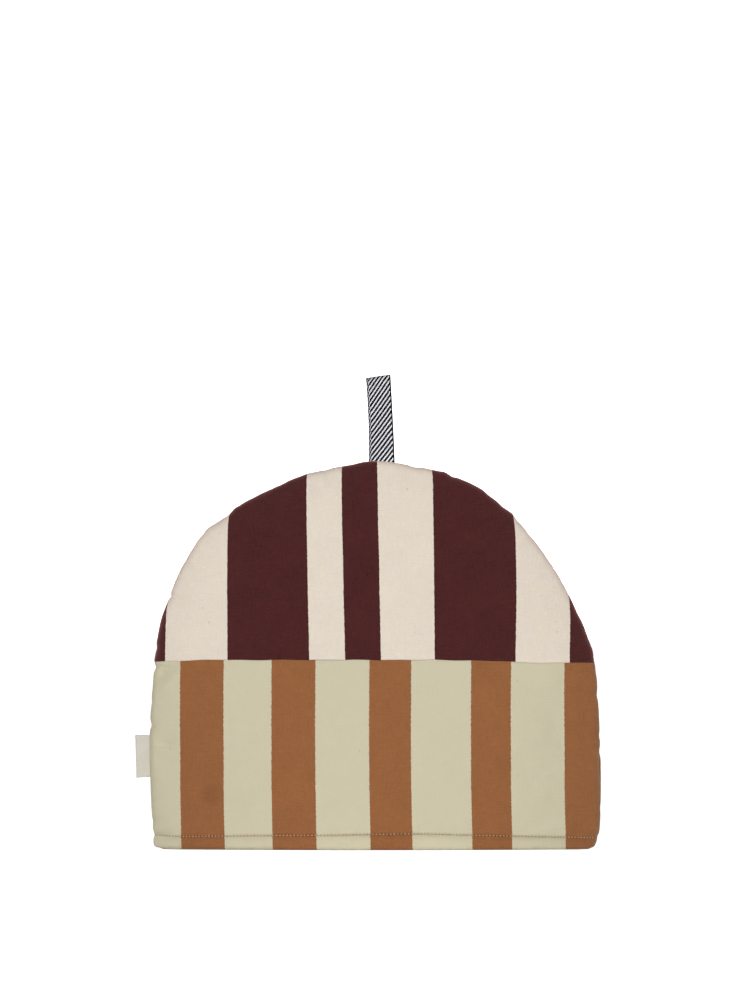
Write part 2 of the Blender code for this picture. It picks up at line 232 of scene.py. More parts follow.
def edge_gathers(draw, puckers):
    """The given puckers, and small gathers at random that hardly show in the outline.

    Gives rows of run, depth at the edge, depth in the face, width and reach.
    """
    rows = []
    for across, height, *shape in puckers:
        _, _, run = nearest_on_edge(np.array([[across, height]]))
        rows.append((run[0], *shape))
    run = draw.uniform(*GATHER_SPACING)
    while run < EDGE_RUN[-1]:
        depth = draw.uniform(*GATHER_DEPTH)
        width = draw.uniform(*GATHER_WIDTH)
        rows.append((run, depth * GATHER_SHOWN, depth, width, draw.uniform(*GATHER_REACH)))
        run += draw.uniform(*GATHER_SPACING)
    return rows


FRONT = -1
BACK = 1
GATHERS = {
    FRONT: edge_gathers(gather_draw, PUCKERS + [FRONT_DRAWN_IN]),
    BACK: edge_gathers(gather_draw, PUCKERS),
}

# Shallow creases in the cloth's face, as soft troughs from one place to another, which fade towards
# their ends. Those with a depth below zero are ridges.
CREASES = [
    # from across, height, to across, height, depth, width
    (-0.1290, 0.1205, -0.1460, 0.1040, -0.00128, 0.0030),
    (-0.1350, 0.1235, -0.1475, 0.1130, 0.00096, 0.0026),
    (-0.1480, 0.0985, -0.1390, 0.1040, 0.00080, 0.0030),
    (-0.1485, 0.0676, -0.1310, 0.0661, -0.00080, 0.0028),
    (-0.1490, 0.0712, -0.1310, 0.0706, 0.00190, 0.0021),
    (-0.1440, 0.0560, -0.1390, 0.0540, 0.00048, 0.0018),
    (-0.1500, 0.0101, -0.1360, 0.0097, 0.00112, 0.0013),
    (-0.1370, 0.0160, -0.1290, 0.0150, -0.00064, 0.0024),
    (-0.1190, 0.1190, -0.1175, 0.0950, 0.00056, 0.0030),
    (0.1482, 0.1032, 0.1425, 0.1015, 0.00128, 0.0013),
    (0.1470, 0.0985, 0.1400, 0.0975, -0.00064, 0.0026),
    (0.1470, 0.0700, 0.1330, 0.0735, 0.00048, 0.0034),
    (0.1060, 0.1200, 0.1280, 0.1130, -0.00144, 0.0080),
    (0.1020, 0.0110, 0.1300, 0.0165, -0.00096, 0.0034),
    (0.1180, 0.1000, 0.1240, 0.0560, 0.00096, 0.0075),
    (0.1000, 0.0340, 0.1200, 0.0260, -0.00096, 0.0080),
    (0.0980, 0.2080, 0.0860, 0.1960, 0.00064, 0.0034),
    (-0.0930, 0.2200, -0.0840, 0.2040, 0.00064, 0.0034),
]
CREASE_END = 0.12
# The padding's slow swells, and the cloth's small wrinkles over it.
SWELLS = [
    # depth, length, layer of the noise
    (0.0009, 0.048, 0),
    (0.00034, 0.011, 5),
]


def crease_depth(places):
    """How deep the creases lie at these places."""
    depth = np.zeros(len(places))
    for from_across, from_height, to_across, to_height, deep, width in CREASES:
        start = np.array([from_across, from_height])
        line = np.array([to_across, to_height]) - start
        share = np.clip(((places - start) @ line) / (line @ line), 0, 1)
        gap = np.linalg.norm(places - start - share[:, None] * line, axis=1)
        fade = np.sin(np.pi * np.clip(share, CREASE_END, 1 - CREASE_END))
        depth += deep * fade * np.exp(-(gap / width) ** 2)
    return depth


def cloth_waves(places, seed):
    """How far the swells and wrinkles stand out at these places."""
    rise = np.zeros(len(places))
    for depth, length, layer in SWELLS:
        rise += [depth * noise.noise(Vector((*place, seed + layer))) for place in places / length]
    return rise


def waist_sag(across, height):
    """How far the cloth sinks with the waist seam: all the sag above it, none at the hem."""
    sag = WAIST_SAG * np.abs(across / HALF_WIDTH) ** WAIST_SAG_POWER
    sideways = (across - WAIST_DIP_ACROSS) / WAIST_DIP_WIDTH
    upward = (height - WAIST_HEIGHT) / WAIST_DIP_REACH
    dip = WAIST_DIP * np.exp(-sideways ** 2 - upward ** 2)
    wander = sum(np.sin(across / length + start) for length, start in WAIST_WAVES)
    wander = WAIST_WANDER * wander * np.exp(-(upward * 2) ** 2)
    return sag * np.minimum(1, height / WAIST_HEIGHT) + dip + wander


def drawn_in(places, amount):
    """Places on the outline moved towards the body's middle by about this amount."""
    across = places[:, 0] * (1 - amount / HALF_WIDTH)
    rise = np.maximum(0, places[:, 1] - WAIST_HEIGHT)
    height = places[:, 1] - rise * amount / (BODY_HEIGHT - WAIST_HEIGHT)
    return np.stack([across, height], axis=1)


def lens_depth(across, height, inset):
    """How far the wall stands from the seam plane: a lens in plan that narrows towards the top."""
    left, right = edge_across(np.minimum(height * BODY_HEIGHT / (BODY_HEIGHT - inset), BODY_HEIGHT))
    shrink = 1 - inset / HALF_WIDTH
    middle = (left + right) / 2 * shrink
    half = np.maximum((right - left) / 2 * shrink, 1e-5)
    lens = np.clip(1 - ((across - middle) / half) ** 2, 0, 1)
    lean = 1 - np.clip(height / (BODY_HEIGHT - inset), 0, 1) ** WALL_LEAN
    return MOUTH_HALF_DEPTH * lean * lens


# Where a folded tape is caught in the edge seam, the two walls part a little round it.
LABEL_MIDDLE_HEIGHT = 0.0623
TAPE_SLOTS = [
    # across, height, half length along the edge, room
    (LOOP_FOOT_ACROSS, BODY_HEIGHT, 0.0085, 0.0012),
    (-0.1505, LABEL_MIDDLE_HEIGHT, 0.0145, 0.0012),
]
SLOT_SOFTNESS = 0.002
SLOT_REACH = 0.006


def slot_room(distance, run):
    """How far a wall gives way to the tapes in the seam, this far from the outline and along it."""
    room = np.zeros(len(run))
    for across, height, half_length, deep in TAPE_SLOTS:
        _, _, middle = nearest_on_edge(np.array([[across, height]]))
        past_end = np.maximum(0, np.abs(run - middle[0]) - half_length)
        room += deep * np.exp(-(past_end / SLOT_SOFTNESS) ** 2 - (distance / SLOT_REACH) ** 2)
    return room


# Beside the edge seam the cloth is eased in: a little more of it lies there than the shape needs.
CLOTH_EASE = 0.0026
CLOTH_EASE_REACH = 0.008


def outer_face(places, tuck, side, seed):
    """The wall's outside over these places: its points (across, depth, height) and its cloth's (u, v).

    tuck is how far each point is drawn in by the seams across the panel. u and v are the same places
    measured on the cloth itself, which turns round the padded edge.
    """
    distance, outward, run = nearest_on_edge(places)
    turn = np.arccos(1 - np.minimum(distance, ROLL) / ROLL)
    fullness = np.sin(turn)
    sideways = np.cos(turn)
    pillow = PILLOW * (1 - np.exp(-distance / PILLOW_REACH))
    depth = lens_depth(places[:, 0], places[:, 1], 0) + ROLL * fullness + pillow
    pull = np.zeros(len(places))
    edge_pull = np.zeros(len(places))
    for middle, edge_deep, deep, width, fade in GATHERS[side]:
        near = np.exp(-((run - middle) / width) ** 2 - (distance / fade) ** 2)
        pull += deep * near
        edge_pull += edge_deep * near
    swell = cloth_waves(places, seed) - crease_depth(places)
    depth = np.maximum(depth + (swell - tuck - pull) * fullness, 0)
    inward = SEAM_GROOVE * np.exp(-(depth / SEAM_GROOVE_REACH) ** 2) + edge_pull * sideways
    across, height = (places - outward * inward[:, None]).T
    lift = np.sin(across / HEM_WAVES[0] + seed) * np.sin(across / HEM_WAVES[1] + 2 * seed)
    lift = HEM_LIFT * (0.5 + 0.5 * lift) * np.exp(-(height / HEM_LIFT_REACH) ** 2)
    height = np.maximum(0, height - waist_sag(across, height)) + lift
    depth = depth + slot_room(distance, run)
    past_plan = ROLL * (np.pi / 2 - turn - sideways) + CLOTH_EASE * np.exp(-distance / CLOTH_EASE_REACH)
    on_cloth = places + outward * past_plan[:, None]
    return np.stack([across, HALF_GAP + depth, height], axis=1), on_cloth


def inner_face(places, tuck):
    """The wall's inside over these places."""
    depth = lens_depth(places[:, 0], places[:, 1], SEAM_ALLOWANCE) + tuck
    height = places[:, 1] - waist_sag(places[:, 0], places[:, 1])
    return np.stack([places[:, 0], HALF_GAP + depth, height], axis=1), places


# The even fill keeps this share of its spacing from the border and the lines.
FILL_ROOM = 0.7


def tree_of(places):
    """Finds the nearest of these flat places."""
    tree = KDTree(len(places))
    for number, place in enumerate(places):
        tree.insert((*place, 0), number)
    tree.balance()
    return tree


def cut_cloth(border, lines, spacing):
    """Triangles over a flat piece of cloth, from its closed border, lines of places and an even fill.

    Each line comes with the room that its places need. Gives the places, the triangles, and the place
    number of each border place.
    """
    kept = [Vector(place) for place in border]
    for line, room in lines:
        tree = tree_of(kept)
        kept += [Vector(place) for place in line if tree.find((*place, 0))[2] > room]
    tree = tree_of(kept)
    low = border.min(0)
    high = border.max(0)
    row_step = spacing * math.sqrt(3) / 2
    rows = int((high[1] - low[1]) / row_step)
    columns = int((high[0] - low[0]) / spacing)
    for row in range(1, rows + 1):
        for column in range(columns + 1):
            place = (low[0] + (column + row % 2 / 2) * spacing, low[1] + row * row_step)
            if tree.find((*place, 0))[2] > spacing * FILL_ROOM:
                kept.append(Vector(place))
    count = len(border)
    edges = [(number, (number + 1) % count) for number in range(count)]
    vertices, _, triangles, sources, _, _ = delaunay_2d_cdt(kept, edges, [], 1, 1e-7)
    places = np.array([vertex[:] for vertex in vertices])
    number_of = {original: number for number, source in enumerate(sources) for original in source}
    used = sorted({corner for triangle in triangles for corner in triangle})
    renumber = {old: new for new, old in enumerate(used)}
    triangles = [tuple(renumber[corner] for corner in triangle) for triangle in triangles]
    return places[used], triangles, [renumber[number_of[original]] for original in range(count)]


def add_flat_places(mesh, name, flat):
    """A UV map from one flat place for each of the mesh's points."""
    layer = mesh.uv_layers.new(name=name)
    for loop in mesh.loops:
        layer.data[loop.index].uv = flat[loop.vertex_index]


def add_object(name, data):
    """A new object in the scene, at the origin."""
    added = bpy.data.objects.new(name, data)
    bpy.context.scene.collection.objects.link(added)
    return added


def padded_wall(name, side, outer, inner, inside_from, materials):
    """A closed wall from its two sides, each (points, cloth places, triangles, border numbers).

    Faces of the inner side that lie above inside_from get the second material.
    """
    outer_points, outer_cloth, outer_triangles, outer_border = outer
    inner_points, inner_cloth, inner_triangles, inner_border = inner
    points = np.vstack([outer_points, inner_points])
    points[:, 0] += BODY_MIDDLE
    points[:, 1] *= side
    cloth = np.vstack([outer_cloth, inner_cloth * (1, -1)])
    shift = len(outer_points)
    inner_triangles = [tuple(corner + shift for corner in triangle) for triangle in inner_triangles]
    inner_border = [number + shift for number in inner_border]
    outer_next = outer_border[1:] + outer_border[:1]
    inner_next = inner_border[1:] + inner_border[:1]
    rim = list(zip(outer_border, outer_next, inner_next, inner_border))
    # a flat triangle runs anticlockwise in (across, height), and so faces the front, which is -Y
    faces = [triangle[::-1] for triangle in outer_triangles] + inner_triangles + rim
    if side == FRONT:
        faces = [face[::-1] for face in faces]
    mesh = bpy.data.meshes.new(name)
    mesh.from_pydata(points.tolist(), [], faces)
    mesh.shade_smooth()
    for material in materials:
        mesh.materials.append(material)
    first = len(outer_triangles)
    for polygon in mesh.polygons[first:first + len(inner_triangles)]:
        if polygon.center.z > inside_from:
            polygon.material_index = 1
    add_flat_places(mesh, "cloth", cloth)
    return add_object(name, mesh)


# The striped cotton is a plain weave with uneven threads, in upright stripes with slightly ragged edges.
THREAD = 0.00055
WEAVE_RELIEF = 0.00012
CROSSING_SHARE = 0.35
UNEVEN_THREADS = [
    # changes in a metre along the thread, and across it, strength
    (150, 1900, 1.0),
    (90, 800, 0.4),
]
UNEVEN_DYE = [
    # changes in a metre, detail, strength
    (1000, 1.0, 1.1),
    (260, 2.0, 0.35),
    (45, 3.0, 0.7),
]
# Small flecks in the yarn: how many to the metre, and the radius and the tone of a fleck, each as its
# least value and how much more it may be.
FLECKS_TO_A_METRE = 190
FLECK_RADIUS = (0.05, 0.07)
FLECK_TONE = (-0.30, 0.45)
# Some places in the cloth are a little warmer: more red and less blue.
WARMTH_TO_A_METRE = 130.0
WARMTH = (0.05, 0.0, -0.08)


def new_group(name, inputs, outputs):
    """An empty shader node group with these named sockets, and its input and its output node."""
    group = bpy.data.node_groups.new(name, "ShaderNodeTree")
    for socket_name, kind, value in inputs:
        socket = group.interface.new_socket(socket_name, in_out="INPUT", socket_type=kind)
        if value is not None:
            socket.default_value = value
    for socket_name in outputs:
        group.interface.new_socket(socket_name, in_out="OUTPUT", socket_type="NodeSocketFloat")
    return group, group.nodes.new("NodeGroupInput"), group.nodes.new("NodeGroupOutput")


def feed(tree, node, values):
    """Gives a node's inputs their values, by name or number: a socket is linked, all else is set."""
    for key, value in values.items():
        if isinstance(value, bpy.types.NodeSocket):
            tree.links.new(value, node.inputs[key])
        else:
            node.inputs[key].default_value = value


def maths(tree, operation, *values):
    node = tree.nodes.new("ShaderNodeMath")
    node.operation = operation
    feed(tree, node, dict(enumerate(values)))
    return node.outputs[0]


def vector_maths(tree, operation, first, second):
    node = tree.nodes.new("ShaderNodeVectorMath")
    node.operation = operation
    feed(tree, node, {0: first, 1: second})
    return node.outputs[0]


def scaled(tree, vector, scale):
    node = tree.nodes.new("ShaderNodeVectorMath")
    node.operation = "SCALE"
    feed(tree, node, {0: vector, "Scale": scale})
    return node.outputs[0]


def parts_of(tree, vector):
    """The X, Y and Z of a vector."""
    node = tree.nodes.new("ShaderNodeSeparateXYZ")
    feed(tree, node, {0: vector})
    return node.outputs


def noise_value(tree, vector, scale, detail=2.0):
    node = tree.nodes.new("ShaderNodeTexNoise")
    feed(tree, node, {"Vector": vector, "Scale": scale, "Detail": detail})
    return node.outputs["Fac"]


def woven_cotton_group():
    """Plain weave seen from near: raised crossings, threads of uneven shade, soft blotches of dye, and
    small flecks in the yarn."""
    group, given, result = new_group(
        "woven cotton",
        [
            ("Cloth", "NodeSocketVector", None),
            ("Thread", "NodeSocketFloat", THREAD),
            ("Unevenness", "NodeSocketFloat", 0.1),
            ("Flecks", "NodeSocketFloat", 0.5),
        ],
        ["Height", "Shade", "Warmth"],
    )
    cloth = given.outputs["Cloth"]
    place = parts_of(group, cloth)
    waves = []
    for direction in ("X", "Y"):
        turns = maths(group, "DIVIDE", place[direction], given.outputs["Thread"])
        waves.append(maths(group, "SINE", maths(group, "MULTIPLY", turns, math.pi)))
    crossing = maths(group, "MULTIPLY", *waves)
    threads = 0.0
    for along, across, strength in UNEVEN_THREADS:
        for often in ((along, across, 0), (across, along, 0)):
            uneven = noise_value(group, vector_maths(group, "MULTIPLY", cloth, often), 1.0)
            uneven = maths(group, "SUBTRACT", uneven, 0.5)
            threads = maths(group, "MULTIPLY_ADD", uneven, strength, threads)
    dye = 0.0
    for often, detail, strength in UNEVEN_DYE:
        uneven = maths(group, "SUBTRACT", noise_value(group, cloth, often, detail), 0.5)
        dye = maths(group, "MULTIPLY_ADD", uneven, strength, dye)
    shade = maths(group, "ADD", threads, dye)
    shade = maths(group, "MULTIPLY_ADD", shade, given.outputs["Unevenness"], 1.0)
    # a fleck is a round spot in the middle of some of the cells
    cells = group.nodes.new("ShaderNodeTexVoronoi")
    feed(group, cells, {"Vector": cloth, "Scale": FLECKS_TO_A_METRE})
    picked = parts_of(group, cells.outputs["Color"])
    present = maths(group, "LESS_THAN", picked["X"], given.outputs["Flecks"])
    radius = maths(group, "MULTIPLY_ADD", picked["Y"], FLECK_RADIUS[1], FLECK_RADIUS[0])
    spot = maths(group, "LESS_THAN", cells.outputs["Distance"], radius)
    tone = maths(group, "MULTIPLY_ADD", picked["Z"], FLECK_TONE[1], FLECK_TONE[0])
    fleck = maths(group, "MULTIPLY", maths(group, "MULTIPLY", present, spot), tone)
    warmth = noise_value(group, cloth, WARMTH_TO_A_METRE, detail=3.0)
    feed(group, result, {
        "Height": maths(group, "MULTIPLY_ADD", crossing, CROSSING_SHARE, threads),
        "Shade": maths(group, "MULTIPLY", shade, maths(group, "ADD", fleck, 1.0)),
        "Warmth": maths(group, "SUBTRACT", warmth, 0.5),
    })
    return group


woven_cotton = woven_cotton_group()


def dyed_weave(tree, cloth, colour, thread, unevenness, flecks):
    """A colour as its yarn shows it, and the weave's height."""
    weave = tree.nodes.new("ShaderNodeGroup")
    weave.node_tree = woven_cotton
    feed(tree, weave, {"Cloth": cloth, "Thread": thread, "Unevenness": unevenness, "Flecks": flecks})
    tint = tree.nodes.new("ShaderNodeCombineXYZ")
    for axis, warmer in enumerate(WARMTH):
        share = maths(tree, "MULTIPLY_ADD", weave.outputs["Warmth"], warmer, 1.0)
        feed(tree, tint, {axis: maths(tree, "MULTIPLY", share, weave.outputs["Shade"])})
    return vector_maths(tree, "MULTIPLY", colour, tint.outputs[0]), weave.outputs["Height"]


def cloth_shader(tree, colour, height, relief, roughness, sheen, tint=(1.0, 1.0, 1.0)):
    """Finishes a cloth. The sheen is the fuzz that lightens its rims, in the tint."""
    bump = tree.nodes.new("ShaderNodeBump")
    feed(tree, bump, {"Strength": 1.0, "Distance": relief, "Height": height})
    feed(tree, tree.nodes["Principled BSDF"], {
        "Base Color": colour,
        "Roughness": roughness,
        "Normal": bump.outputs["Normal"],
        "Specular IOR Level": 0.12,
        "Sheen Weight": sheen,
        "Sheen Roughness": 0.5,
        "Sheen Tint": (*tint, 1.0),
    })


def new_material(name):
    """A material with nodes, and its tree."""
    material = bpy.data.materials.new(name)
    material.use_nodes = True
    return material, material.node_tree


def map_place(tree, name="cloth"):
    """Where a point lies on one of its mesh's UV maps: on the flat cloth, if no other is named."""
    node = tree.nodes.new("ShaderNodeUVMap")
    node.uv_map = name
    return node.outputs["UV"]


# The whole edge of a stripe wavers a little: how often in a metre across and up, and how far.
WAVERS_TO_A_METRE = (9, 22, 0)
WAVER = 0.0007
# The stripes are laid out over this much of the cloth to either side of the middle.
STRIPE_SPAN = 0.17


def striped_cotton(name, stripes, edges, lean, bow, ragged_by, flecks, sheen, tint):
    """The cloth in upright stripes.

    stripes are the first and the second kind of stripe, each a colour and how uneven its yarn is. edges
    are the stripe edges across, and the first stripe lies left of them all. lean is how far the stripes
    lean to the left as they go up, where they lean most, and how far from there they still do. bow is
    how much they curve, and the height at which they stand upright.
    """
    material, tree = new_material(name)
    cloth = map_place(tree)
    place = parts_of(tree, cloth)
    # each weft thread ends its colour at its own place
    thread_number = maths(tree, "FLOOR", maths(tree, "DIVIDE", place["Y"], THREAD))
    ragged = tree.nodes.new("ShaderNodeTexWhiteNoise")
    ragged.noise_dimensions = "1D"
    feed(tree, ragged, {"W": thread_number})
    ragged = maths(tree, "MULTIPLY_ADD", ragged.outputs["Value"], ragged_by, -ragged_by / 2)
    waver = vector_maths(tree, "MULTIPLY", cloth, WAVERS_TO_A_METRE)
    waver = noise_value(tree, waver, 1.0, detail=1.0)
    waver = maths(tree, "MULTIPLY_ADD", waver, WAVER, -WAVER / 2)
    most_lean, lean_middle, lean_width = lean
    off_middle = maths(tree, "DIVIDE", maths(tree, "SUBTRACT", place["X"], lean_middle), lean_width)
    less_lean = maths(tree, "MULTIPLY", maths(tree, "MULTIPLY", off_middle, off_middle), -1.0)
    above_waist = maths(tree, "SUBTRACT", place["Y"], WAIST_HEIGHT)
    leaning = maths(tree, "MULTIPLY", above_waist, maths(tree, "EXPONENT", less_lean))
    across = maths(tree, "MULTIPLY_ADD", leaning, most_lean, place["X"])
    curve, upright_at = bow
    off_upright = maths(tree, "SUBTRACT", place["Y"], upright_at)
    off_upright = maths(tree, "MULTIPLY", off_upright, off_upright)
    across = maths(tree, "MULTIPLY_ADD", off_upright, -curve, across)
    across = maths(tree, "ADD", across, maths(tree, "ADD", ragged, waver))
    # the stripes' colours, with the unevenness of the yarn as their alpha
    ramp = tree.nodes.new("ShaderNodeValToRGB")
    ramp.color_ramp.interpolation = "CONSTANT"
    stops = ramp.color_ramp.elements
    stops[0].position = 0
    stops[0].color = stripes[0]
    stops.remove(stops[1])
    for number, edge in enumerate(edges):
        stop = stops.new(0.5 + edge * 0.5 / STRIPE_SPAN)
        stop.color = stripes[1 - number % 2]
    feed(tree, ramp, {"Fac": maths(tree, "MULTIPLY_ADD", across, 0.5 / STRIPE_SPAN, 0.5)})
    dyed, height = dyed_weave(tree, cloth, ramp.outputs["Color"], THREAD, ramp.outputs["Alpha"], flecks)
    cloth_shader(tree, dyed, height, WEAVE_RELIEF, roughness=0.88, sheen=sheen, tint=tint)
    return material


def plain_cloth(name, colour, thread, unevenness, flecks, relief, roughness, sheen):
    """A woven cloth or tape in one colour."""
    material, tree = new_material(name)
    dyed, height = dyed_weave(tree, map_place(tree), colour, thread, unevenness, flecks)
    cloth_shader(tree, dyed, height, relief, roughness, sheen)
    return material


INSIDE_WHITE = (0.70, 0.64, 0.55)
inside_cotton = plain_cloth(
    "plain_inside_cotton", INSIDE_WHITE, THREAD, unevenness=0.12, flecks=0.3, relief=WEAVE_RELIEF,
    roughness=0.9, sheen=0.05
)

# red, green, blue, and how uneven the yarn's shade is
BURGUNDY = (0.0600, 0.0122, 0.0122, 0.55)
CREAM = (0.753, 0.672, 0.571, 0.12)
DOME_STRIPES = [-0.1414, -0.0983, -0.0444, -0.0204, 0.0032, 0.0386, 0.0934, 0.1312]
DOME_STRIPE_LEAN = (0.022, -0.018, 0.065)
WAIST_GROOVE = 0.0003
WAIST_GROOVE_REACH = 0.0010
# The waist seam draws the dome's right side a little inwards.
SEAM_DRAW = 0.0014
SEAM_DRAW_FROM = 0.050
SEAM_DRAW_OVER = 0.080
SEAM_DRAW_REACH = 0.025
# The mesh is finer beside the seams. Its rings lie this far in from the outline, and its rows this far
# from the waist seam. A point of a ring is left out where others lie nearer than this share of the way
# to the next ring, and a point of a row where they lie nearer than SEAM_ROOM.
EDGE_RINGS = [0.00012, 0.0005, 0.0011, 0.0019, 0.0029, 0.0041, 0.0055, 0.0072, 0.0092]
RING_ROOM = 0.12
SEAM_ROWS = [0.0006, 0.0013, 0.0022, 0.0034]
SEAM_ROOM = 0.0004
CLOTH_SPACING = 0.0022
INSIDE_SPACING = 0.006
BORDER_SPACING = 0.0016

dome_cotton = striped_cotton(
    "dome_striped_cotton", (BURGUNDY, CREAM), DOME_STRIPES, DOME_STRIPE_LEAN, bow=(0.0, 0.0),
    ragged_by=0.0003, flecks=0.24, sheen=0.70, tint=(1.0, 0.50, 0.48)
)


def runs_at(height):
    """The run along the outline at this height, on the left and on the right."""
    left = np.interp(height, EDGE[:EDGE_TOP + 1, 1], EDGE_RUN[:EDGE_TOP + 1])
    right = np.interp(-height, -EDGE[EDGE_TOP:, 1], EDGE_RUN[EDGE_TOP:])
    return left, right


def along_edge(start, end, inset):
    """Places along the outline between two runs, moved in by inset."""
    count = max(2, round((end - start) / BORDER_SPACING) + 1)
    runs = np.linspace(start, end, count)
    places = np.stack([np.interp(runs, EDGE_RUN, EDGE[:, axis]) for axis in (0, 1)], axis=1)
    outward = np.stack([np.interp(runs, EDGE_RUN, EDGE_OUTWARD[:, axis]) for axis in (0, 1)], axis=1)
    return places - outward * inset


def edge_rings(stretches, low, high):
    """Lines along these stretches of the outline between two heights, each with the room it needs."""
    rings = []
    for inset, next_inset in zip(EDGE_RINGS, EDGE_RINGS[1:] + [EDGE_RINGS[-1] + CLOTH_SPACING]):
        for start, end in stretches:
            ring = along_edge(start, end, inset)
            keep = (ring[:, 1] > low) & (ring[:, 1] < high)
            rings.append((ring[keep], (next_inset - inset) * RING_ROOM))
    return rings


def across_row(height, spacing):
    """Places in a row at this height from edge to edge, close together near the edges."""
    left, right = edge_across(height)
    near_left = left + np.array([0.0] + EDGE_RINGS)
    near_right = right - np.array(EDGE_RINGS[::-1] + [0.0])
    count = round((near_right[0] - near_left[-1]) / spacing)
    middle = np.linspace(near_left[-1], near_right[0], count + 1)[1:-1]
    across = np.concatenate([near_left, middle, near_right])
    return np.stack([across, np.full(len(across), height)], axis=1)


def waist_tuck(heights):
    """How far the waist seam draws the cloth in."""
    return WAIST_GROOVE * np.exp(-((heights - WAIST_HEIGHT) / WAIST_GROOVE_REACH) ** 2)


def inner_side(border, lowest_tuck):
    """The inside of a wall whose outside has this border.

    lowest_tuck says how far the hem draws it in at given heights.
    """
    places, triangles, numbers = cut_cloth(drawn_in(border, SEAM_ALLOWANCE), [], INSIDE_SPACING)
    points, cloth = inner_face(places, lowest_tuck(places[:, 1]))
    return points, cloth, triangles, numbers


def dome_panel(name, side, seed):
    """The front's or the back's dome. The seed sets its swells and wrinkles."""
    lowest = WAIST_HEIGHT + WAIST_HALF_GAP
    start, end = runs_at(lowest)
    border = np.vstack([across_row(lowest, CLOTH_SPACING), along_edge(start, end, 0)[::-1][1:-1]])
    lines = edge_rings([(start, end)], WAIST_HEIGHT + SEAM_ROOM, BODY_HEIGHT)
    lines += [(across_row(WAIST_HEIGHT + rise, CLOTH_SPACING), SEAM_ROOM) for rise in SEAM_ROWS]
    places, triangles, numbers = cut_cloth(border, lines, CLOTH_SPACING)
    points, cloth = outer_face(places, waist_tuck(places[:, 1]), side, seed)
    drawn = np.clip((places[:, 0] - SEAM_DRAW_FROM) / SEAM_DRAW_OVER, 0, 1)
    cloth[:, 0] += SEAM_DRAW * drawn * np.exp(-((places[:, 1] - WAIST_HEIGHT) / SEAM_DRAW_REACH) ** 2)
    outer = (points, cloth, triangles, numbers)
    inner = inner_side(border, np.zeros_like)
    piece = padded_wall(name, side, outer, inner, 0.0, [dome_cotton, inside_cotton])
    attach(piece, "root")
    return piece


front_dome = dome_panel("front_dome", FRONT, seed=1.3)
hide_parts("front_upper_panel")
back_dome = dome_panel("back_dome", BACK, seed=8.1)
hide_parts("back_upper_panel")

# =====================================================================================================
# The bands: sage and brown striped cotton, padded. The hem is turned up inside and held by a row of
# topstitching, which draws the padding in. The side seams' lower corners are rounded.

# red, green, blue, and how uneven the yarn's shade is
SAGE = (0.60, 0.555, 0.40, 0.05)
BROWN = (0.295, 0.116, 0.043, 0.30)
BAND_STRIPES = [-0.1308, -0.1015, -0.0700, -0.0406, -0.0045, 0.0236, 0.0633, 0.0903, 0.1254]
BAND_STRIPE_LEAN = (0.0, 0.0, 1.0)
BAND_STRIPE_BOW = (0.161, 0.082)
# The hem's lower edge is rounded, outside and inside.
HEM_ROUNDING = 0.003
HEM_TUCK_OUTSIDE = 0.0011
HEM_TUCK_INSIDE = 0.0010
HEM_TURNED_UP = 0.0105
STITCH_HEIGHT = 0.010
STITCH_PITCH = 0.0024
STITCH_FROM_EDGE = 0.0022
PLACES_TO_A_STITCH = 8
# The stitches draw the padding in, and below them the hem lies lower than the padded band.
STITCH_GROOVE = 0.0006
STITCH_REACH = 0.0009
HEM_STEP = 0.0023
HEM_STEP_REACH = 0.0019
HEM_LEAN = 0.04
STITCH_HOLE = 0.0003
# The needle holes are darkened in the cloth's colour as painted shade: the spot's radius, and how dark.
NEEDLE_HOLE_SHADE_RADIUS = 0.0009
NEEDLE_HOLE_PAINTED_SHADE = 0.30
# The mesh is finer at the hem and along the stitches. The stitch rows lie below and above the stitching.
HEM_ROWS = [0.0003, 0.0008, 0.0015, 0.0024, 0.0036]
HEM_ROOM = 0.0002
STITCH_ROWS = [
    -0.0050, -0.0035, -0.0024, -0.0016, -0.0009, -0.0004, 0.0, 0.0004, 0.0008, 0.0013, 0.0020,
]
STITCH_ROW_SPACING = 0.0005
STITCH_ROOM = 0.0003
# The row of stitches wanders a little as it goes round.
STITCH_LINE = [
    # across, height
    (-0.1510, 0.0101),
    (-0.1300, 0.0089),
    (-0.1050, 0.0092),
    (-0.0700, 0.0097),
    (-0.0300, 0.0100),
    (0.0230, 0.0109),
    (0.0600, 0.0101),
    (0.0900, 0.0093),
    (0.1180, 0.0086),
    (0.1510, 0.0079),
]

# One place on the front's first brown stripe is a little darker than the cloth round it.
MARK_ACROSS = -0.1093
MARK_HEIGHT = 0.0366
MARK_RADIUS = 0.0085
MARK_DARK = 0.14

stitch_line = smooth_curve(np.array(STITCH_LINE), 10)


def darkened(material, amount):
    """Darkens a finished cloth by this amount, a socket of its tree."""
    tree = material.node_tree
    colour = tree.nodes["Principled BSDF"].inputs["Base Color"]
    kept = maths(tree, "SUBTRACT", 1.0, amount)
    tree.links.new(scaled(tree, colour.links[0].from_socket, kept), colour)


def soft_spot(tree, first, second, radius, dark):
    """How dark a round spot is at a point this far from its middle in two directions.

    It is even inside, and fades softly over the outer half of its radius.
    """
    squares = [maths(tree, "MULTIPLY", away, away) for away in (first, second)]
    away = maths(tree, "SQRT", maths(tree, "ADD", *squares))
    share = maths(tree, "SUBTRACT", 1.0, maths(tree, "DIVIDE", away, radius))
    share = maths(tree, "MAXIMUM", share, 0.0)
    share = maths(tree, "SMOOTH_MIN", maths(tree, "MULTIPLY", share, 2.0), 1.0, 0.3)
    return maths(tree, "MULTIPLY", share, dark)


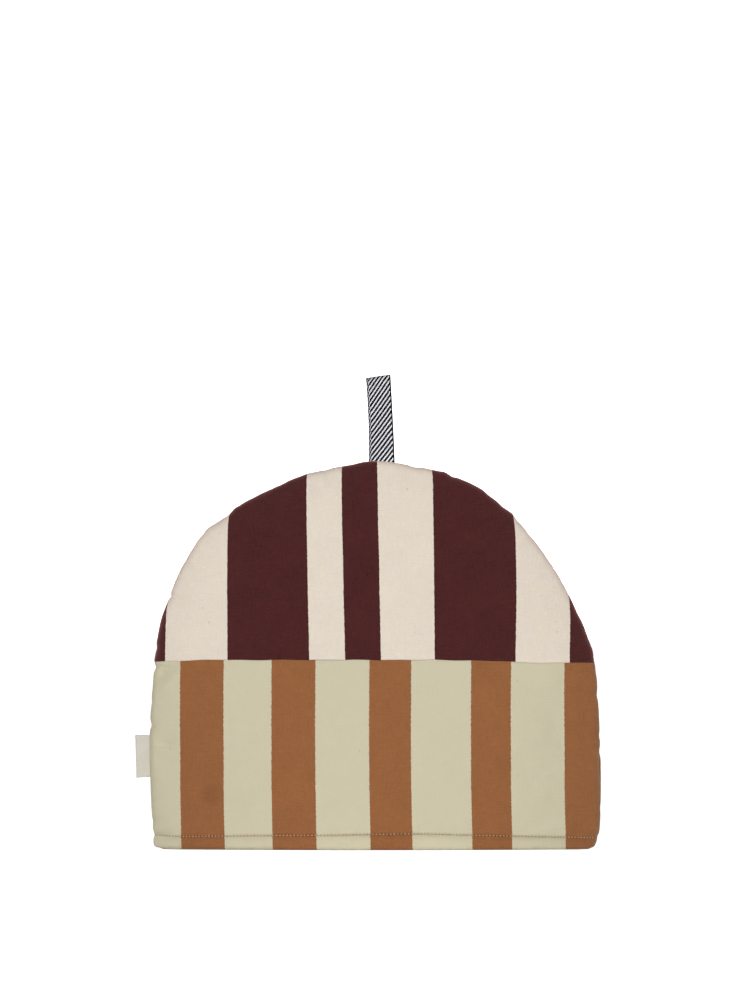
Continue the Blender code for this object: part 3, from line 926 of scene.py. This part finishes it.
def band_striped_cotton():
    """The band's cloth with painted shade in its needle holes, and with the darker place on the front.
    """
    material = striped_cotton(
        "band_striped_cotton", (SAGE, BROWN), BAND_STRIPES, BAND_STRIPE_LEAN, BAND_STRIPE_BOW,
        ragged_by=0.0004, flecks=0.08, sheen=0.40, tint=(1.0, 0.84, 0.60)
    )
    tree = material.node_tree
    # painted shade at each needle hole along the row of stitches
    row = parts_of(tree, map_place(tree, "stitch_row"))
    turn = maths(tree, "SUBTRACT", maths(tree, "FRACT", row["X"]), 0.5)
    along = maths(tree, "MULTIPLY", turn, STITCH_PITCH)
    darkened(material, soft_spot(tree, along, row["Y"], NEEDLE_HOLE_SHADE_RADIUS, NEEDLE_HOLE_PAINTED_SHADE))
    place = parts_of(tree, tree.nodes.new("ShaderNodeTexCoord").outputs["Object"])
    across = maths(tree, "SUBTRACT", place["X"], BODY_MIDDLE + MARK_ACROSS)
    upward = maths(tree, "SUBTRACT", place["Z"], MARK_HEIGHT)
    mark = soft_spot(tree, across, upward, MARK_RADIUS, MARK_DARK)
    darkened(material, maths(tree, "MULTIPLY", mark, maths(tree, "LESS_THAN", place["Y"], 0.0)))
    return material


band_cotton = band_striped_cotton()


def stitch_height(across):
    """How high the row of stitches lies at these places across."""
    return np.interp(across, stitch_line[:, 0], stitch_line[:, 1])


def hem_tuck(heights, lowest):
    """The hem's rounded lower edge, as a quarter round."""
    share = np.minimum(1, heights / HEM_ROUNDING)
    return lowest * (1 - np.sqrt(1 - (1 - share) ** 2))


def band_tuck(places, hole):
    """How far the hem's rounding, its stitching and the waist seam draw the band in.

    hole is 1 where the needle went through and 0 halfway between two needle holes.
    """
    across, heights = places.T
    above = heights - stitch_height(across)
    below = np.maximum(0, -above)
    above = np.maximum(0, above)
    groove = STITCH_GROOVE * np.exp(-(above / STITCH_REACH) ** 2)
    groove = groove + HEM_STEP * (1 - np.exp(-below / HEM_STEP_REACH)) + HEM_LEAN * below
    pierced = STITCH_HOLE * hole * np.exp(-((above + below) / STITCH_REACH) ** 2)
    return hem_tuck(heights, HEM_TUCK_OUTSIDE) + groove + pierced + waist_tuck(heights)


def stitch_run(side, seed):
    """Places across along the row of stitches, and the length of the row before each of them.

    The row is a whole number of stitches long.
    """
    left, right = edge_across(STITCH_HEIGHT)
    step = STITCH_PITCH / PLACES_TO_A_STITCH
    across = np.arange(left + STITCH_FROM_EDGE, right - STITCH_FROM_EDGE, step)
    places = np.stack([across, stitch_height(across)], axis=1)
    points, _ = outer_face(places, band_tuck(places, 0.0), side, seed)
    run = run_lengths(points)
    return across, np.minimum(run, int(run[-1] / STITCH_PITCH) * STITCH_PITCH)


def band_panel(name, side, seed):
    """The front's or the back's band. The seed sets its swells and wrinkles."""
    highest = WAIST_HEIGHT - WAIST_HALF_GAP
    low_left, low_right = runs_at(0.0)
    high_left, high_right = runs_at(highest)
    sides = [(low_left, high_left), (high_right, low_right)]
    left, right = [along_edge(start, end, 0) for start, end in sides]
    low_row = across_row(0.0, CLOTH_SPACING)
    high_row = across_row(highest, CLOTH_SPACING)
    border = np.vstack([low_row, right[::-1][1:], high_row[::-1][1:], left[::-1][1:-1]])
    lines = edge_rings(sides, HEM_ROOM, WAIST_HEIGHT - SEAM_ROOM)
    lines += [(across_row(rise, CLOTH_SPACING), HEM_ROOM) for rise in HEM_ROWS]
    for rise in STITCH_ROWS:
        row = across_row(STITCH_HEIGHT, STITCH_ROW_SPACING)
        row[:, 1] = stitch_height(row[:, 0]) + rise
        lines.append((row, STITCH_ROOM))
    lines += [(across_row(WAIST_HEIGHT - rise, CLOTH_SPACING), SEAM_ROOM) for rise in SEAM_ROWS]
    places, triangles, numbers = cut_cloth(border, lines, CLOTH_SPACING)
    turns = np.interp(places[:, 0], *stitch_run(side, seed)) / STITCH_PITCH
    hole = 0.5 - 0.5 * np.cos(2 * np.pi * turns)
    points, cloth = outer_face(places, band_tuck(places, hole), side, seed)
    outer = (points, cloth, triangles, numbers)
    inner = inner_side(border, lambda heights: hem_tuck(heights, HEM_TUCK_INSIDE))
    piece = padded_wall(name, side, outer, inner, HEM_TURNED_UP, [band_cotton, inside_cotton])
    # the inside has no painted needle-hole shade, so its points lie a metre from the row
    row_places = np.full((len(piece.data.vertices), 2), (0.0, 1.0))
    row_places[:len(places)] = np.stack([turns, places[:, 1] - stitch_height(places[:, 0])], axis=1)
    add_flat_places(piece.data, "stitch_row", row_places)
    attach(piece, "root")
    return piece


FRONT_BAND_SEED = 3.7
BACK_BAND_SEED = 5.9
front_band = band_panel("front_band", FRONT, FRONT_BAND_SEED)
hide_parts("front_lower_band")
back_band = band_panel("back_band", BACK, BACK_BAND_SEED)
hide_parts("back_lower_band")

# =====================================================================================================
# The hem's topstitching: a single row of lockstitches in khaki thread, through the outside, the filling
# and the turned-up hem. It shows on the outside and on the inside of both bands.

THREAD_KHAKI = (0.57, 0.40, 0.24)
STITCH_LENGTH = 0.00155
STITCH_THICKNESS = 0.00062
STITCH_PROUD = 0.00006
# Each stitch differs a little in size, from the first share to the second.
STITCH_SIZES = (0.85, 1.1)
INSIDE_ROW_MARGIN = 0.001
PLY_PITCH = 0.0004
PLY_PAINTED_SHADE = 0.12
PLY_RELIEF = 0.00003


def stitch_rows(side, seed):
    """The middles of the stitches on the outside of a band, then of the same stitches on its inside."""
    across, run = stitch_run(side, seed)
    across = np.interp(np.arange(0, run[-1], STITCH_PITCH), run, across)
    places = np.stack([across, stitch_height(across)], axis=1)
    outside, _ = outer_face(places, band_tuck(places, 0.0), side, seed)
    outside[:, 1] += STITCH_PROUD
    left, right = edge_across(STITCH_HEIGHT)
    margin = SEAM_ALLOWANCE + INSIDE_ROW_MARGIN
    inner = places[(across > left + margin) & (across < right - margin)]
    inside, _ = inner_face(inner, hem_tuck(inner[:, 1], HEM_TUCK_INSIDE))
    inside[:, 1] -= STITCH_PROUD
    for row in (outside, inside):
        row[:, 0] += BODY_MIDDLE
        row[:, 1] *= side
    return outside, inside


def stitch_tree():
    """Geometry Nodes that lay one short thread at every point of a curve, along it."""
    tree = bpy.data.node_groups.new("hem_stitches", "GeometryNodeTree")
    tree.interface.new_socket("Geometry", in_out="OUTPUT", socket_type="NodeSocketGeometry")
    for socket_name, kind in (
        ("Geometry", "NodeSocketGeometry"),
        ("Length", "NodeSocketFloat"),
        ("Thickness", "NodeSocketFloat"),
        ("Thread", "NodeSocketMaterial"),
    ):
        tree.interface.new_socket(socket_name, in_out="INPUT", socket_type=kind)

    def laid(kind, values):
        """A new node with these inputs."""
        node = tree.nodes.new(kind)
        feed(tree, node, values)
        return node

    given = laid("NodeGroupInput", {}).outputs
    tangent = laid("GeometryNodeInputTangent", {})
    turned = laid("FunctionNodeAlignEulerToVector", {"Vector": tangent.outputs[0]})
    turned.axis = "X"
    sizes = tree.nodes.new("FunctionNodeRandomValue")
    sizes.data_type = "FLOAT_VECTOR"
    feed(tree, sizes, {"Min": STITCH_SIZES[:1] * 3, "Max": STITCH_SIZES[1:] * 3, "Seed": 3})
    thread = laid("GeometryNodeMeshUVSphere", {"Segments": 8, "Rings": 6, "Radius": 0.5})
    thick = given["Thickness"]
    size = laid("ShaderNodeCombineXYZ", {"X": given["Length"], "Y": thick, "Z": thick})
    shaped = laid("GeometryNodeTransform", {
        "Geometry": thread.outputs["Mesh"],
        "Scale": size.outputs[0],
    })
    placed = laid("GeometryNodeInstanceOnPoints", {
        "Points": given["Geometry"],
        "Instance": shaped.outputs["Geometry"],
        "Rotation": turned.outputs["Rotation"],
        "Scale": sizes.outputs["Value"],
    })
    real = laid("GeometryNodeRealizeInstances", {"Geometry": placed.outputs["Instances"]})
    smooth = laid("GeometryNodeSetShadeSmooth", {"Geometry": real.outputs["Geometry"]})
    dyed = laid("GeometryNodeSetMaterial", {
        "Geometry": smooth.outputs["Geometry"],
        "Material": given["Thread"],
    })
    laid("NodeGroupOutput", {"Geometry": dyed.outputs["Geometry"]})
    return tree


def thread_material(name, colour):
    """Twisted sewing thread: its plies show as fine slanting light and dark, painted shade in its colour
    over a slight relief.
    """
    material, tree = new_material(name)
    place = parts_of(tree, tree.nodes.new("ShaderNodeTexCoord").outputs["Object"])
    slant = maths(tree, "ADD", place["X"], place["Z"])
    ply = maths(tree, "SINE", maths(tree, "MULTIPLY", slant, 2 * math.pi / PLY_PITCH))
    # painted shade along the plies' twist
    dyed = scaled(tree, colour, maths(tree, "MULTIPLY_ADD", ply, PLY_PAINTED_SHADE, 1.0))
    cloth_shader(tree, dyed, ply, PLY_RELIEF, roughness=0.7, sheen=0.1)
    return material


stitch_curve = bpy.data.curves.new("stitch_lines", "CURVE")
stitch_curve.dimensions = "3D"
for side, seed in ((FRONT, FRONT_BAND_SEED), (BACK, BACK_BAND_SEED)):
    for row in stitch_rows(side, seed):
        line = stitch_curve.splines.new("POLY")
        line.points.add(len(row) - 1)
        for point, place in zip(line.points, row):
            point.co = (*place, 1)
stitch_lines = add_object("stitch_lines", stitch_curve)
sewn = stitch_lines.modifiers.new("stitches", "NODES")
sewn.node_group = stitch_tree()
stitch_values = {
    "Length": STITCH_LENGTH,
    "Thickness": STITCH_THICKNESS,
    "Thread": thread_material("khaki_sewing_thread", THREAD_KHAKI),
}
for socket in sewn.node_group.interface.items_tree:
    if socket.in_out == "INPUT" and socket.name in stitch_values:
        sewn[socket.identifier] = stitch_values[socket.name]
seen_stitches = stitch_lines.evaluated_get(bpy.context.evaluated_depsgraph_get())
stitch_mesh = bpy.data.meshes.new_from_object(seen_stitches)
bpy.data.objects.remove(stitch_lines)
hem_stitching = add_object("hem_stitching", stitch_mesh)
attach(hem_stitching, "root")

# =====================================================================================================
# The hanging loop: one length of twill tape with black and white ribs, folded double. Its ends are sewn
# into the top seam, and its eye stands a little open. Its fold sits slightly askew, and it leans left.

LOOP_THICKNESS = 0.001
LOOP_TOP_HEIGHT = 0.3166
LOOP_SWELL = 0.0077
LOOP_IN_SEAM = 0.0065
LOOP_FOOT_GAP = 0.0003
LOOP_FOLD_STEPS = 44
# The whole tape stands this far left of the solid's middle.
LOOP_SHIFT = 0.0003
LOOP_LEAN = 0.0024
LOOP_LEAN_POWER = 1.6
# The fold is lower at its left end: how far, and how that grows towards the left and towards the fold.
LOOP_SKEW = 0.0023
LOOP_SKEW_POWERS = (1.3, 3)
# The tape's drawn width, as shares of its own: at the foot, for the rise, and for the rise's square.
LOOP_SPREAD = (1.085, -0.18, 0.125)
RIB_PITCH = 0.00372
RIB_SLOPE = 1.35
RIB_BLACK_SHARE = 0.61
# The ribs climb partly in small steps, one for each warp thread: a step, and the steps' share.
RIB_STEP = 0.0005
RIB_STEP_SHARE = 0.3
RIB_WANDERS_TO_A_METRE = (300, 60, 0)
RIB_WANDER = 0.0007
# In this width beside the left selvedge the black grows by this share, and the ribs turn down.
RIB_END_WIDTH = 0.0016
RIB_END_BLACK = 0.26
RIB_END_SLOPE = 1.5
RIB_RELIEF = 0.6
SELVEDGE_WIDTH = 0.0009
TAPE_THREAD = 0.0005
TAPE_RELIEF = 0.00015
TAPE_BLACK = (0.0075, 0.0075, 0.013)
TAPE_WHITE = (0.80, 0.80, 0.84)
# A quarter of the tape's cut across: shares of half its width, and of half its thickness there.
TAPE_SECTION = [
    (0.0, 0.82),
    (0.4, 0.84),
    (0.8, 0.86),
    (0.9, 0.98),
    (0.955, 0.98),
    (0.985, 0.72),
    (1.0, 0.0),
]


def folded_line(length, in_seam, swell, thickness, turns):
    """The middle line of a tape folded double, as points (sideways, along) from end to end."""
    half = [(0.0, -in_seam), (0.0, -in_seam / 2)]
    for turn in range(turns + 1):
        angle = math.pi * turn / turns
        sideways = swell * math.sin(angle) * math.sin(angle / 2) ** 2
        half.append((sideways, (length - thickness / 2) * (1 - math.cos(angle)) / 2))
    shift = HALF_GAP + thickness / 2
    one_leg = [(-shift - sideways, along) for sideways, along in half]
    other_leg = [(shift + sideways, along) for sideways, along in reversed(half)]
    return np.array(one_leg + other_leg)


def tape_piece(name, line, width, thickness, place, material):
    """A tape along its middle line, and the length of that line.

    place(sideways, along, share) puts a point of it, at a share of half the tape's width from its
    middle, into the row's frame.
    """
    tangents = np.gradient(line, axis=0)
    tangents /= np.linalg.norm(tangents, axis=1)[:, None]
    normals = np.stack([tangents[:, 1], -tangents[:, 0]], axis=1)
    section = list(TAPE_SECTION)
    section += [(share, -proud) for share, proud in TAPE_SECTION[-2::-1]]
    section += [(-share, -proud) for share, proud in TAPE_SECTION[1:]]
    section += [(-share, proud) for share, proud in TAPE_SECTION[-2:0:-1]]
    runs = run_lengths(line)
    points = []
    cloth = []
    for share, proud in section:
        face = line + normals * (proud * thickness / 2)
        points += [place(sideways, along, share) for sideways, along in face]
        cloth += [(share * width / 2, run) for run in runs]
    count = len(line)
    starts = [number * count for number in range(len(section))]
    faces = []
    for start, after in zip(starts, starts[1:] + starts[:1]):
        for step in range(count - 1):
            faces.append((start + step, start + step + 1, after + step + 1, after + step))
    faces.append(starts)
    faces.append([start + count - 1 for start in reversed(starts)])
    mesh = bpy.data.meshes.new(name)
    mesh.from_pydata(points, [], faces)
    shape = bmesh.new()
    shape.from_mesh(mesh)
    bmesh.ops.recalc_face_normals(shape, faces=shape.faces)
    shape.to_mesh(mesh)
    shape.free()
    mesh.shade_smooth()
    mesh.materials.append(material)
    add_flat_places(mesh, "cloth", cloth)
    return add_object(name, mesh), float(runs[-1])


def mixed_colour(tree, share, first, second):
    """The first colour where the share is 0, and the second where it is 1."""
    node = tree.nodes.new("ShaderNodeMix")
    node.data_type = "RGBA"
    # the colour sockets share their names with the number sockets, so they are picked by kind
    colours = [number for number, socket in enumerate(node.inputs) if socket.type == "RGBA"]
    feed(tree, node, {"Factor": share, colours[0]: first, colours[1]: second})
    return [socket for socket in node.outputs if socket.type == "RGBA"][0]


def ribbed_tape():
    """Black and white twill ribs across the tape. At its left selvedge they end in small hooks, and its
    right selvedge is black."""
    material, tree = new_material("black_and_white_twill")
    cloth = map_place(tree)
    place = parts_of(tree, cloth)
    across = place["X"]
    stepped = maths(tree, "MULTIPLY", maths(tree, "SNAP", across, RIB_STEP), RIB_STEP_SHARE)
    stepped = maths(tree, "ADD", stepped, maths(tree, "MULTIPLY", across, 1 - RIB_STEP_SHARE))
    past_left = maths(tree, "ADD", across, LOOP_WIDTH / 2 - RIB_END_WIDTH)
    past_left = maths(tree, "MINIMUM", past_left, 0.0)
    climb = maths(tree, "MULTIPLY_ADD", past_left, RIB_END_SLOPE, stepped)
    climb = maths(tree, "MULTIPLY", climb, RIB_SLOPE)
    wander = noise_value(tree, vector_maths(tree, "MULTIPLY", cloth, RIB_WANDERS_TO_A_METRE), 1.0)
    wander = maths(tree, "MULTIPLY_ADD", wander, RIB_WANDER, -RIB_WANDER / 2)
    along = maths(tree, "SUBTRACT", maths(tree, "ADD", place["Y"], wander), climb)
    phase = maths(tree, "FRACT", maths(tree, "DIVIDE", along, RIB_PITCH))
    narrowing = -RIB_END_BLACK / RIB_END_WIDTH
    black_share = maths(tree, "MULTIPLY_ADD", past_left, narrowing, RIB_BLACK_SHARE)
    black = maths(tree, "LESS_THAN", phase, black_share)
    selvedge = maths(tree, "GREATER_THAN", across, LOOP_WIDTH / 2 - SELVEDGE_WIDTH)
    black = maths(tree, "MAXIMUM", black, selvedge)
    colour = mixed_colour(tree, black, (*TAPE_WHITE, 1), (*TAPE_BLACK, 1))
    dyed, height = dyed_weave(tree, cloth, colour, TAPE_THREAD, unevenness=0.25, flecks=0.0)
    rib = maths(tree, "SINE", maths(tree, "MULTIPLY", phase, 2 * math.pi))
    relief = maths(tree, "MULTIPLY_ADD", rib, RIB_RELIEF, height)
    cloth_shader(tree, dyed, relief, TAPE_RELIEF, roughness=0.8, sheen=0.05)
    return material


loop_foot = BODY_HEIGHT - SEAM_GROOVE - LOOP_FOOT_GAP
loop_length = LOOP_TOP_HEIGHT - loop_foot


def loop_place(sideways, along, share):
    """Where a point of the loop's tape stands."""
    rise = max(0.0, along) / loop_length
    width = LOOP_WIDTH * sum(spread * rise ** power for power, spread in enumerate(LOOP_SPREAD))
    across = LOOP_FOOT_ACROSS - LOOP_SHIFT - LOOP_LEAN * rise ** LOOP_LEAN_POWER + share * width / 2
    leftward, upward = LOOP_SKEW_POWERS
    height = loop_foot + along - LOOP_SKEW * ((1 - share) / 2) ** leftward * rise ** upward
    return BODY_MIDDLE + across, sideways, height


loop_line = folded_line(loop_length, LOOP_IN_SEAM, LOOP_SWELL, LOOP_THICKNESS, LOOP_FOLD_STEPS)
hanging_tape, loop_flat = tape_piece(
    "hanging_tape", loop_line, LOOP_WIDTH, LOOP_THICKNESS, loop_place, ribbed_tape()
)
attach(hanging_tape, "root")
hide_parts("hanging_loop")

# =====================================================================================================
# The side tab: a small woven off-white tape, folded double and caught in the left side seam. It is bare,
# slants a little and droops at its lower corner.

LABEL_WIDTH = 0.028
LABEL_THICKNESS = 0.0008
LABEL_SHOWS = 0.0087
LABEL_SWELL = 0.0004
LABEL_IN_SEAM = 0.006
LABEL_FOLD_STEPS = 20
LABEL_SLANT = 0.0008
LABEL_DROOP = 0.0006
LABEL_WHITE = (0.614, 0.580, 0.505)
LABEL_THREAD = 0.00028
LABEL_RELIEF = 0.00006

label_tape = plain_cloth(
    "off_white_label_tape", LABEL_WHITE, LABEL_THREAD, unevenness=0.12, flecks=0.0, relief=LABEL_RELIEF,
    roughness=0.75, sheen=0.1
)
label_seam = float(edge_across(LABEL_MIDDLE_HEIGHT)[0])


def label_place(sideways, along, share):
    """Where a point of the tab's tape stands."""
    out = max(0.0, along) / LABEL_SHOWS
    across = label_seam - along - LABEL_SLANT * share / 2 * out
    height = LABEL_MIDDLE_HEIGHT + share * LABEL_WIDTH / 2 - LABEL_DROOP * out ** 2 * (1 - share) / 2
    return BODY_MIDDLE + across, sideways, height


label_line = folded_line(LABEL_SHOWS, LABEL_IN_SEAM, LABEL_SWELL, LABEL_THICKNESS, LABEL_FOLD_STEPS)
side_tab, label_flat = tape_piece(
    "side_tab", label_line, LABEL_WIDTH, LABEL_THICKNESS, label_place, label_tape
)
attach(side_tab, "root")
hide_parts("side_label")

# =====================================================================================================
# The stage: a floor and a sky that the camera sees as plain white, with a soft sun from the front and a
# weaker one from behind. The camera looks level at the front from far away, as the photograph does, so
# upright lines stay upright.

PHOTO_PIXELS_PER_METRE = 1500
PHOTO_HEIGHT_PIXELS = 1000
HEM_PIXEL_ROW = 849.4
CAMERA_DISTANCE = 20.0
SENSOR = 36.0

camera_data = bpy.data.cameras.new("camera")
camera_data.sensor_width = SENSOR
camera_data.lens = SENSOR * CAMERA_DISTANCE * PHOTO_PIXELS_PER_METRE / PHOTO_HEIGHT_PIXELS
camera_data.clip_end = 100
camera = add_object("camera", camera_data)
camera.location = (
    BODY_MIDDLE,
    -CAMERA_DISTANCE,
    (HEM_PIXEL_ROW - PHOTO_HEIGHT_PIXELS / 2) / PHOTO_PIXELS_PER_METRE,
)
camera.rotation_euler = (math.pi / 2, 0, 0)
bpy.context.scene.camera = camera

# The floor lights the cosy as a pale grey one does, and glows white for the camera alone. It lies just
# below the hem.
FLOOR_HALF = 30.0
FLOOR_GREY = 0.6
FLOOR_BELOW = 0.0002
floor_material, floor_tree = new_material("floor")
feed(floor_tree, floor_tree.nodes["Principled BSDF"], {
    "Base Color": (FLOOR_GREY, FLOOR_GREY, FLOOR_GREY, 1),
    "Roughness": 0.9,
    "Specular IOR Level": 0.0,
    "Emission Color": (1, 1, 1, 1),
    "Emission Strength": floor_tree.nodes.new("ShaderNodeLightPath").outputs["Is Camera Ray"],
})
floor_mesh = bpy.data.meshes.new("floor")
floor_corners = [(FLOOR_HALF * x, FLOOR_HALF * y, 0) for x, y in ((-1, -1), (1, -1), (1, 1), (-1, 1))]
floor_mesh.from_pydata(floor_corners, [], [(0, 1, 2, 3)])
floor_mesh.materials.append(floor_material)
floor = add_object("floor", floor_mesh)
floor.location.z = -FLOOR_BELOW

# The sky's light is strongest at the horizon, all round, and dim overhead. The camera sees it as white.
SKY_LOW = 2.0
SKY_FALL = 5.0
SKY_HIGH = 0.05
SKY_SEEN = 1.02
world = bpy.data.worlds.new("sky")
world.use_nodes = True
sky_tree = world.node_tree
sky_direction = parts_of(sky_tree, sky_tree.nodes.new("ShaderNodeTexCoord").outputs["Generated"])
sky_light = maths(sky_tree, "MULTIPLY_ADD", sky_direction["Z"], -SKY_FALL, SKY_LOW)
sky_light = maths(sky_tree, "MAXIMUM", sky_light, SKY_HIGH)
sky_seen = sky_tree.nodes.new("ShaderNodeLightPath").outputs["Is Camera Ray"]
sky_seen = maths(sky_tree, "MULTIPLY", sky_seen, SKY_SEEN)
feed(sky_tree, sky_tree.nodes["Background"], {
    "Color": (1, 1, 1, 1),
    "Strength": maths(sky_tree, "MAXIMUM", sky_light, sky_seen),
})
bpy.context.scene.world = world


def add_sun(name, energy, degrees, place):
    """A sun this many degrees wide that shines from this place towards the origin."""
    data = bpy.data.lights.new(name, "SUN")
    data.energy = energy
    data.angle = math.radians(degrees)
    sun = add_object(name, data)
    sun.location = place
    sun.rotation_euler = (-sun.location).to_track_quat("-Z", "Y").to_euler()


add_sun("key", energy=2.20, degrees=11, place=(-0.02, -2.2, 0.215))
add_sun("fill", energy=1.3, degrees=20, place=(0.0, 2.2, 0.40))

bpy.context.scene.view_settings.view_transform = "Standard"
bpy.context.scene.view_settings.look = "None"
